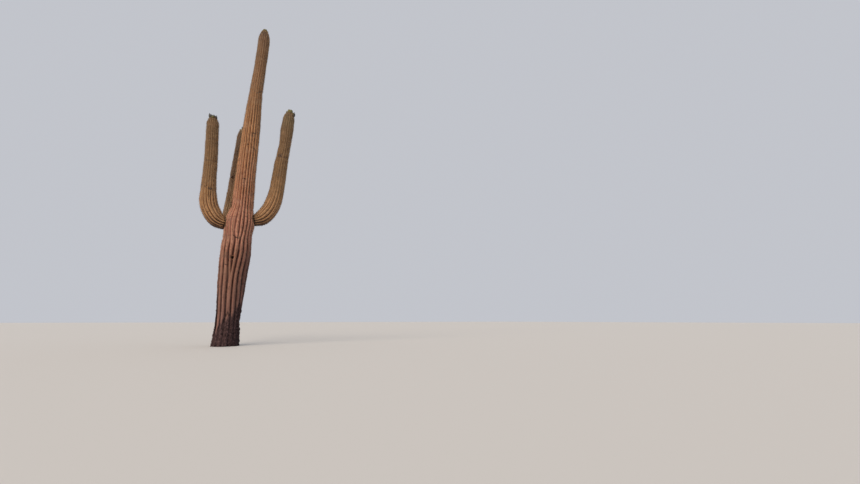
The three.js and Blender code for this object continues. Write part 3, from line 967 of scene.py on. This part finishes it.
def modelFruit(rule):  # an egg of unit length with raised scales, and the rest of its flower on the tip
    segments, rings = fruitRule["segments"], fruitRule["rings"]
    bpy.ops.object.select_all(action="DESELECT")
    bpy.ops.mesh.primitive_uv_sphere_add(segments=segments, ring_count=rings, radius=0.5)
    fruit = bpy.context.object
    fruit.name = "fruit_pattern"
    faces = fruit.data.polygons
    chosen = []
    for face in faces:  # every other face, in a chequer, becomes a scale
        x, y, z = face.center
        row = round(math.acos(max(-1, min(1, z / 0.5))) / math.pi * rings - 0.5)
        turn = math.atan2(y, x) / (2 * math.pi) * segments
        chosen.append(abs(z) < fruitRule["scalesTo"] and (round(turn - 0.5) + row) % 2 == 0)
    bpy.context.tool_settings.mesh_select_mode = (False, False, True)
    editFaces(fruit, chosen)
    bpy.ops.mesh.extrude_faces_move(TRANSFORM_OT_shrink_fatten={"value": fruitRule["scaleRise"]})
    bpy.ops.object.mode_set(mode="OBJECT")
    up = Vector((0, 0, fruitRule["scalePoint"]))
    for face in fruit.data.polygons:  # each scale narrows to a tip that points up
        if face.select:
            middle = face.center.copy()
            for k in face.vertices:
                vertex = fruit.data.vertices[k]
                vertex.co = middle + (vertex.co - middle) * fruitRule["scaleTip"] + up
    editFaces(fruit, [face.center.z > fruitRule["flowerFrom"] for face in fruit.data.polygons])
    for rise, opening in rule["flower"]:
        bpy.ops.mesh.extrude_region_move(TRANSFORM_OT_translate={"value": (0, 0, rise)})
        bpy.ops.transform.resize(value=(opening, opening, 1))
    bpy.ops.mesh.select_all(action="SELECT")
    bpy.context.scene.cursor.location = fruitRule["sortFrom"]
    bpy.ops.mesh.sort_elements(type="CURSOR_DISTANCE", elements={"VERT", "EDGE", "FACE"})
    bpy.context.scene.cursor.location = (0, 0, 0)
    bpy.ops.object.mode_set(mode="OBJECT")
    return fruit


def fruitPlace(limb, turn, tilt, lean, long):  # where a fruit stands on a crown, and which way
    middle, radius, axis, front, side = placesOn(limb, knotsOf(limb)[-1:])
    turn, tilt, lean = math.radians(turn), math.radians(tilt), math.radians(lean)
    outward = front[0] * math.cos(turn) + side[0] * math.sin(turn)
    way = Vector(axis[0] * math.cos(lean) + outward * math.sin(lean))
    place = Vector(middle[0] + axis[0] * limb["crown"] * math.cos(tilt))
    place += Vector(outward * radius[0] * math.sin(tilt) * (1 - limb["furrow"] / 2))
    return place + way * (0.5 - fruitRule["sunk"]) * long, way


def setFruits(name, kind):
    rule = fruitRule[kind]
    pattern = modelFruit(rule)
    shape = verticesOf(pattern)
    random = np.random.default_rng(fruitRule["seed"])
    copies = []
    for limb, places in crownFruits:
        for fruit in places.get(kind, ()):
            place, way = fruitPlace(limb, *fruit)
            upright = np.array(way.to_track_quat("Z", "Y").to_matrix())
            size = fruit[-1]
            body = shape * (size * rule["slimness"], size * rule["slimness"], size)
            spin = random.uniform(0, 2 * math.pi)
            c, s = math.cos(spin), math.sin(spin)
            around = np.array([[c, -s, 0], [s, c, 0], [0, 0, 1]])
            copy = pattern.copy()
            copy.data = pattern.data.copy()
            bpy.context.scene.collection.objects.link(copy)
            giveVertices(copy, body @ around.T @ upright.T + np.array(place))
            copies.append(copy)
    bpy.data.objects.remove(pattern)
    bpy.ops.object.select_all(action="DESELECT")
    for copy in copies:
        copy.select_set(True)
    bpy.context.view_layer.objects.active = copies[0]
    bpy.ops.object.join()
    fruits = bpy.context.object
    fruits.name = name
    bpy.ops.object.shade_smooth()
    return fruits


ripeFruits = setFruits("ripe_fruits", "ripe")
youngFruits = setFruits("young_fruits", "young")
for piece in (ripeFruits, youngFruits):
    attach(piece, "root")
print("fruits set")


# Materials. A socket is fed by another socket, a number or a colour.
def feed(tree, socket, value):
    if isinstance(value, bpy.types.NodeSocket):
        tree.links.new(value, socket)
    elif socket.type == "RGBA":
        socket.default_value = (*value, 1)
    else:
        socket.default_value = value


def node(tree, kind, **values):  # a node with its settings and its sockets filled in
    made = tree.nodes.new(kind)
    for name, value in values.items():
        if hasattr(made, name):
            setattr(made, name, value)
        else:
            feed(tree, made.inputs[name], value)
    return made


def maths(tree, operation, *values, kind="ShaderNodeMath"):
    made = node(tree, kind, operation=operation)
    for socket, value in zip(made.inputs, values):
        feed(tree, socket, value)
    return made.outputs[0]


def noise(tree, vector, scale, detail, roughness):
    values = {"Vector": vector, "Scale": scale, "Detail": detail, "Roughness": roughness}
    return node(tree, "ShaderNodeTexNoise", **values).outputs["Fac"]


def bump(tree, height, strength, depth, **values):
    made = node(tree, "ShaderNodeBump", Height=height, Strength=strength, Distance=depth, **values)
    return made.outputs["Normal"]


def ramp(tree, value, stops):  # a colour for a value, from (position, colour) pairs
    made = node(tree, "ShaderNodeValToRGB", Fac=value)
    elements = made.color_ramp.elements
    while len(elements) < len(stops):
        elements.new(0.5)
    for element, (position, colour) in zip(elements, stops):
        element.position = position
        element.color = (*colour, 1)
    return made.outputs["Color"]


def mixColour(tree, first, second, factor, blend="MIX"):
    made = node(tree, "ShaderNodeMix", data_type="RGBA", blend_type=blend, Factor=factor)
    feed(tree, made.inputs[6], first)
    feed(tree, made.inputs[7], second)
    return made.outputs[2]


def spread(tree, value, low, high, bottom=0.0, top=1.0, kind="SMOOTHSTEP"):  # maps a range, held at its ends
    made = node(tree, "ShaderNodeMapRange", interpolation_type=kind, Value=value)
    for title, number in zip(("From Min", "From Max", "To Min", "To Max"), (low, high, bottom, top)):
        made.inputs[title].default_value = number
    return made.outputs["Result"]


def layOut(tree):  # sets the nodes out in columns, each to the right of those that it reads
    ends = ("BSDF_PRINCIPLED", "OUTPUT_MATERIAL", "GROUP_OUTPUT")
    columns, rows = {}, {}
    for made in sorted(tree.nodes, key=lambda made: (made.type in ends, made.type == "OUTPUT_MATERIAL")):
        before = [columns.get(link.from_node.name, 0) for socket in made.inputs for link in socket.links]
        column = 1 + max(before, default=0)
        columns[made.name] = column
        rows[column] = rows.get(column, 0) + 1
        made.location = (240 * column, -260 * rows[column])


def newGroup(name, numbers, outputs):  # a group that reads a vector and numbers: it, its inputs, its outputs
    group = bpy.data.node_groups.new(name, "ShaderNodeTree")
    group.interface.new_socket(name="Vector", in_out="INPUT", socket_type="NodeSocketVector")
    for title, value in numbers.items():
        socket = group.interface.new_socket(name=title, in_out="INPUT", socket_type="NodeSocketFloat")
        socket.default_value = value
    for title, kind in outputs.items():
        group.interface.new_socket(name=title, in_out="OUTPUT", socket_type="NodeSocket" + kind)
    return group, node(group, "NodeGroupInput").outputs, node(group, "NodeGroupOutput").inputs


def placeGroup(tree, group, vector, **values):
    return node(tree, "ShaderNodeGroup", node_tree=group, Vector=vector, **values).outputs[0]


def blotchGroup():  # a mask of soft patches
    group, into, out = newGroup("blotches", {"Scale": 5.0, "Cover": 0.5}, {"Mask": "Float"})
    broad = noise(group, into["Vector"], into["Scale"], 4.0, 0.6)
    feed(group, out["Mask"], spread(group, maths(group, "ADD", broad, into["Cover"]), 0.92, 1.16))
    layOut(group)
    return group


def grainGroup():  # height of fine wrinkles and pores
    group, into, out = newGroup("skinGrain", {"Scale": 60.0, "Pores": 0.4}, {"Height": "Float"})
    fine = noise(group, into["Vector"], into["Scale"], 5.0, 0.65)
    pores = node(group, "ShaderNodeTexVoronoi", feature="F1", Vector=into["Vector"], Scale=into["Scale"])
    deep = maths(group, "MULTIPLY", pores.outputs["Distance"], into["Pores"])
    feed(group, out["Height"], maths(group, "ADD", fine, deep))
    layOut(group)
    return group


def streakGroup():  # tone of fine streaks along the ribs and faint growth lines across them
    group, into, out = newGroup("ribStreaks", {"Strength": 1.0}, {"Tone": "Float"})
    tones = []
    for scale, low, high in (((9, 1.3, 1), 0.70, 1.26), ((0.9, 22, 1), 0.86, 1.10)):
        stretch = node(group, "ShaderNodeMapping", Vector=into["Vector"], Scale=scale)
        streak = noise(group, stretch.outputs["Vector"], 1.0, 5.0, 0.62)
        tones.append(spread(group, streak, 0.32, 0.68, low, high))
    both = maths(group, "MULTIPLY", *tones)
    eased = node(group, "ShaderNodeMix", Factor=into["Strength"], A=1, B=both)
    feed(group, out["Tone"], eased.outputs[0])
    layOut(group)
    return group


corkLook = {"dark": (0.050, 0.028, 0.024), "mid": (0.16, 0.098, 0.085), "pale": (0.36, 0.240, 0.205)}


def barkGroup():  # colour and height of cork, in plates with dark cracks
    dark, mid, pale = corkLook["dark"], corkLook["mid"], corkLook["pale"]
    group, into, out = newGroup("barkPlates", {"Crack": 0.0}, {"Colour": "Color", "Height": "Float"})
    lumps = noise(group, into["Vector"], 20.0, 7.0, 0.7)
    bend = node(group, "ShaderNodeTexNoise", Vector=into["Vector"], Scale=9.0, Detail=3.0)
    shift = node(group, "ShaderNodeVectorMath", operation="SCALE", Vector=bend.outputs["Color"], Scale=0.07)
    moved = maths(group, "ADD", into["Vector"], shift.outputs[0], kind="ShaderNodeVectorMath")
    tall = node(group, "ShaderNodeMapping", Vector=moved, Scale=(1, 1, 0.45)).outputs["Vector"]
    fissures = node(group, "ShaderNodeTexVoronoi", feature="DISTANCE_TO_EDGE", Vector=tall, Scale=34.0)
    split = spread(group, fissures.outputs["Distance"], 0.0, 0.11, 0.7, 0)
    colour = ramp(group, lumps, [(0.3, dark), (0.5, mid), (0.72, pale)])
    for mask in (split, spread(group, into["Crack"], 0, 1, 0, 0.85)):
        colour = mixColour(group, colour, dark, mask)
    feed(group, out["Colour"], colour)
    feed(group, out["Height"], maths(group, "SUBTRACT", lumps, split))
    layOut(group)
    return group


blotches = blotchGroup()
skinGrain = grainGroup()
ribStreaks = streakGroup()
barkPlates = barkGroup()


# Skin colours. Low and high are the tones of a rib from its furrow to its crest, below and above a change
# of height. The ramp up the plant gives its brightness and tint, partly painted shade, darkest at the foot,
# and partly the skin's own tone: a height, then red, green and blue. Shady side is painted shade to the
# right, low down.
trunkLook = {
    "low": [(0.12, (0.058, 0.020, 0.015)), (0.46, (0.185, 0.075, 0.048)), (0.76, (0.50, 0.270, 0.180))],
    "high": [(0.04, (0.075, 0.028, 0.015)), (0.42, (0.26, 0.120, 0.062)), (0.90, (0.46, 0.242, 0.120))],
    "change": (2.4, 4.0),
    "shadySide": [(-0.04, 1, 1, 1), (0.17, 0.80, 0.76, 0.80), (0.28, 0.42, 0.38, 0.44)],
    "shadyEnd": (1.9, 3.1),
    "heightShading": [
        (0, 0.40, 0.36, 0.44), (0.6, 0.41, 0.36, 0.42), (0.95, 0.43, 0.38, 0.41), (1.65, 0.46, 0.39, 0.38),
        (2.2, 0.60, 0.49, 0.46), (2.75, 0.92, 0.76, 0.75), (3.5, 1.04, 0.84, 0.89), (4.4, 1.08, 0.94, 0.91),
        (5.2, 1.08, 0.99, 0.84), (5.9, 0.98, 0.92, 0.76), (6.5, 0.78, 0.74, 0.60), (7.2, 0.64, 0.61, 0.50),
        (8.0, 0.54, 0.53, 0.44), (8.6, 0.47, 0.46, 0.42),
    ],
    "tip": (0.24, 0.22, 0.10), "tipRise": (8.74, 8.95),
    "stain": (0.13, 0.068, 0.045), "dust": (0.46, 0.29, 0.20), "scab": (0.15, 0.088, 0.062),
}
armLook = {
    "low": [(0.08, (0.060, 0.024, 0.011)), (0.42, (0.220, 0.108, 0.048)), (0.85, (0.46, 0.274, 0.135))],
    "high": [(0.04, (0.088, 0.048, 0.020)), (0.5, (0.20, 0.120, 0.054)), (0.95, (0.30, 0.185, 0.088))],
    "change": (3.3, 4.2),
    "heightShading": [
        (0, 1.02, 0.97, 0.85), (4.2, 0.98, 0.86, 0.74), (4.7, 0.83, 0.73, 0.61), (5.3, 0.72, 0.64, 0.55),
        (6.0, 0.70, 0.64, 0.58),
    ],
    "tip": (0.17, 0.14, 0.065), "tipRise": (5.6, 6.4),
    "stain": (0.12, 0.075, 0.045), "dust": (0.42, 0.27, 0.16), "scab": (0.13, 0.085, 0.050),
}
# The back arm's ramp darkens its top with painted shade.
backLook = dict(armLook)
backLook["heightShading"] = [
    (0, 1.05, 1.10, 1.15), (3.8, 1.05, 1.10, 1.15), (4.2, 0.90, 0.84, 0.98), (4.7, 0.67, 0.61, 0.70),
    (5.3, 0.45, 0.42, 0.50),
]
# Tones of marks and of painted shade: painted shade under bends, dark scars, painted shade in the folds where
# limbs meet, the callus round holes, and painted shade inside them
markAndShadeLook = {
    "under": (0.11, 0.07, 0.09),
    "scar": (0.040, 0.016, 0.010), "crease": (0.022, 0.009, 0.006),
    "callus": (0.17, 0.080, 0.048), "inside": (0.022, 0.008, 0.005),
}
heightShadingTop = 9.0  # the ramp of painted shade and tint up the plant ends at this height
# What lies on the skins: the scale of each pattern, and how strongly it shows. Waxy and dry are roughness,
# and depths are in metres.
finish = {
    "streaks": 0.9,
    "stainScale": 2.2, "stainCover": 0.46, "stain": 0.45,
    "dustScale": 5.5, "dustCover": 0.47, "dust": 0.35,
    "scabScale": 4.5, "scabs": 0.5,
    "speckScale": 55.0, "specks": 0.7,
    "tearScale": 42.0, "scars": 0.92,
    "cork": 0.92,
    "waxy": 0.58, "dry": 0.94,
    "grainScale": 70.0, "pores": 0.5, "grain": 0.5, "grainDepth": 0.004,
    "lumpsOnSkin": 0.12, "lumpsOnCork": 0.9, "lumpDepth": 0.012,
}


def newMaterial(name, specular):  # a material, its nodes, its shader, and where a point of the piece is
    material = bpy.data.materials.new(name)
    material.use_nodes = True
    tree = material.node_tree
    shader = tree.nodes["Principled BSDF"]
    shader.inputs["Specular IOR Level"].default_value = specular
    return material, tree, shader.inputs, node(tree, "ShaderNodeTexCoord").outputs["Object"]


def skinMaterial(name, look):
    material, tree, shader, where = newMaterial(name, 0.3)
    place = node(tree, "ShaderNodeSeparateXYZ", Vector=where).outputs
    ribs = node(tree, "ShaderNodeUVMap", uv_map="ribMap").outputs["UV"]
    masks = {}
    for title in skinMasks:
        masks[title] = node(tree, "ShaderNodeAttribute", attribute_name=title).outputs["Fac"]

    # ribs: dark furrows, lighter crests, in other colours low down than high up
    low, high = (ramp(tree, masks["crest"], look[part]) for part in ("low", "high"))
    colour = mixColour(tree, low, high, spread(tree, place["Z"], *look["change"]))
    colour = mixColour(tree, colour, look["tip"], spread(tree, place["Z"], *look["tipRise"], 0, 0.8))

    # streaks and stains that run down the ribs, dusty and scabby patches, specks
    streak = placeGroup(tree, ribStreaks, ribs, Strength=finish["streaks"])
    colour = mixColour(tree, colour, streak, 1, "MULTIPLY")
    runs = node(tree, "ShaderNodeMapping", Vector=ribs, Scale=(1.6, 0.9, 1)).outputs["Vector"]
    stain = placeGroup(tree, blotches, runs, Scale=finish["stainScale"], Cover=finish["stainCover"])
    stain = spread(tree, stain, 0, 1, 0, finish["stain"])
    dust = placeGroup(tree, blotches, where, Scale=finish["dustScale"], Cover=finish["dustCover"])
    dust = spread(tree, dust, 0, 1, 0, finish["dust"])
    scabs = spread(tree, noise(tree, where, finish["scabScale"], 8.0, 0.72), 0.56, 0.62, 0, finish["scabs"])
    specks = spread(tree, noise(tree, where, finish["speckScale"], 3.0, 0.6), 0.64, 0.70, 0, finish["specks"])
    for tone, mask in (("stain", stain), ("dust", dust), ("scab", scabs), ("stain", specks)):
        colour = mixColour(tree, colour, look[tone], mask)

    # cork at the foot, in plates
    bark = node(tree, "ShaderNodeGroup", node_tree=barkPlates, Vector=where, Crack=masks["crack"]).outputs
    cover = spread(tree, masks["cork"], 0.05, 0.6, 0, finish["cork"])
    colour = mixColour(tree, colour, bark["Colour"], cover)

    if "shadySide" in look:
        across = spread(tree, place["X"], -0.5, 0.5, 0, 1, "LINEAR")
        shade = ramp(tree, across, [(0.5 + side, tone) for side, *tone in look["shadySide"]])
        colour = mixColour(tree, colour, shade, spread(tree, place["Z"], *look["shadyEnd"], 1, 0), "MULTIPLY")

    # brightness and tint up the plant, partly painted shade, then painted shade under bends, scars, painted
    # shade in the folds where limbs meet, and holes with painted shade inside
    rise = spread(tree, place["Z"], 0, heightShadingTop, 0, 1, "LINEAR")
    heightShading = ramp(tree, rise, [(height / heightShadingTop, tone) for height, *tone in look["heightShading"]])
    colour = mixColour(tree, colour, heightShading, 1, "MULTIPLY")
    # painted shade on the undersides of bends
    colour = mixColour(tree, colour, markAndShadeLook["under"], masks["under"], "MULTIPLY")
    tear = spread(tree, noise(tree, where, finish["tearScale"], 4.0, 0.7), 0.35, 0.65, 0.6, 1.3)
    # scars are dark marks on the skin; the crease tone is painted shade in the folds where limbs meet
    for title, low, high in (("scar", 0.24, 0.42), ("crease", 0.40, 0.62)):
        torn = spread(tree, maths(tree, "MULTIPLY", masks[title], tear), low, high, 0, finish["scars"])
        colour = mixColour(tree, colour, markAndShadeLook[title], torn)
    # the callus round holes, and painted shade inside them
    for tone, low, high in (("callus", 0.05, 0.5), ("inside", 0.6, 0.95)):
        colour = mixColour(tree, colour, markAndShadeLook[tone], spread(tree, masks["wound"], low, high))
    feed(tree, shader["Base Color"], colour)

    # waxy where it is smooth, dry where it is stained or corky
    dry = maths(tree, "MAXIMUM", stain, masks["cork"])
    feed(tree, shader["Roughness"], spread(tree, dry, 0, 0.8, finish["waxy"], finish["dry"]))

    grain = placeGroup(tree, skinGrain, where, Scale=finish["grainScale"], Pores=finish["pores"])
    fine = bump(tree, grain, finish["grain"], finish["grainDepth"])
    lumps = spread(tree, masks["cork"], 0, 1, finish["lumpsOnSkin"], finish["lumpsOnCork"])
    feed(tree, shader["Normal"], bump(tree, bark["Height"], lumps, finish["lumpDepth"], Normal=fine))
    layOut(tree)
    return material


def dryMaterial(name, dark, pale, roughness):  # spines and pads: two tones in small patches
    material, tree, shader, where = newMaterial(name, 0.3)
    shader["Roughness"].default_value = roughness
    patch = placeGroup(tree, blotches, where, Scale=60.0, Cover=0.5)
    feed(tree, shader["Base Color"], mixColour(tree, dark, pale, patch))
    layOut(tree)
    return material


def fruitMaterial(name, skin, blush, tip):
    material, tree, shader, where = newMaterial(name, 0.4)
    patch = placeGroup(tree, blotches, where, Scale=38.0, Cover=0.5)
    specks = placeGroup(tree, blotches, where, Scale=140.0, Cover=0.42)
    colour = mixColour(tree, mixColour(tree, skin, blush, patch), tip, specks)
    feed(tree, shader["Base Color"], colour)
    feed(tree, shader["Roughness"], spread(tree, patch, 0, 1, 0.45, 0.7))
    grain = placeGroup(tree, skinGrain, where, Scale=160.0, Pores=0.3)
    feed(tree, shader["Normal"], bump(tree, grain, 0.5, 0.002))
    layOut(tree)
    return material


# The dark and the pale tone of each kind of spine and pad, and how rough it is
spineLook = {
    "goldenSpines": ((0.35, 0.215, 0.105), (0.44, 0.285, 0.150), 0.6),
    "greySpines": ((0.40, 0.29, 0.18), (0.50, 0.37, 0.24), 0.7),
    "darkSpines": ((0.085, 0.050, 0.034), (0.13, 0.080, 0.052), 0.65),
}
padLook = {
    "areoleWool": ((0.21, 0.140, 0.085), (0.30, 0.210, 0.130), 0.95),
    "dirtAndShadeWool": ((0.055, 0.032, 0.024), (0.095, 0.060, 0.043), 0.95),
}
trunkMaterial = skinMaterial("trunkSkin", trunkLook)
armMaterial = skinMaterial("armSkin", armLook)
backMaterial = skinMaterial("backArmSkin", backLook)
spineMaterials = [dryMaterial(name, *look) for name, look in spineLook.items()]
padMaterials = [dryMaterial(name, *look) for name, look in padLook.items()]
ripeMaterial = fruitMaterial("ripeFruit", (0.030, 0.032, 0.018), (0.060, 0.030, 0.022), (0.012, 0.010, 0.008))
youngMaterial = fruitMaterial("youngFruit", (0.165, 0.140, 0.036), (0.11, 0.115, 0.034), (0.09, 0.055, 0.025))


def dress(piece, *materials):  # added to its slots in the order that its faces choose them by
    for material in materials:
        piece.data.materials.append(material)


dress(trunkSkin, trunkMaterial)
for piece in (leftSkin, rightSkin):
    dress(piece, armMaterial)
dress(backSkin, backMaterial)
for kind, piece in spinePieces:
    dress(piece, *(spineMaterials if kind == "spines" else padMaterials))
dress(ripeFruits, ripeMaterial)
dress(youngFruits, youngMaterial)
print("materials given")
